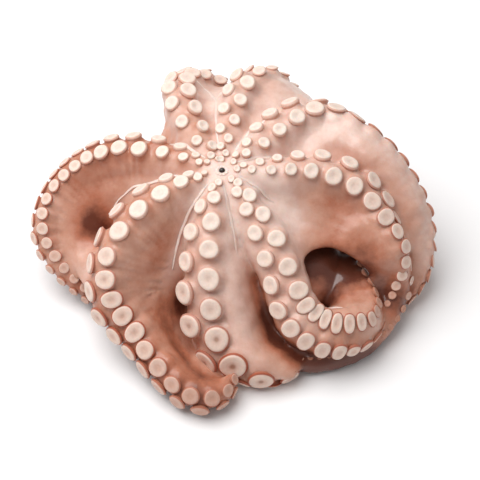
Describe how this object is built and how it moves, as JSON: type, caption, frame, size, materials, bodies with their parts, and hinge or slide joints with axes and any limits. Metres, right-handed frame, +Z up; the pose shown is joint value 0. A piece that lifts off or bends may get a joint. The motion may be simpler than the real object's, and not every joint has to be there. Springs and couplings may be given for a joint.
{
  "type": "whole octopus",
  "caption": "Whole cooked octopus set down mouth up, its arms draped over the head and curled under, suckers outwards.",
  "frame": {"origin": "centre of the bounding box in plan, on the surface that the octopus rests on", "axes": "+Z up out of the mouth, -Y towards the front arm, +X towards the right-hand arms"},
  "size_m": [0.2513, 0.2337, 0.0968],
  "materials": {
    "flesh": "moist satin skin, pale pink to brown",
    "beak": "dark horn, polished"
  },
  "bodies": {
    "root": {"octopus": "flesh", "beak": "beak"}
  },
  "joints": []
}
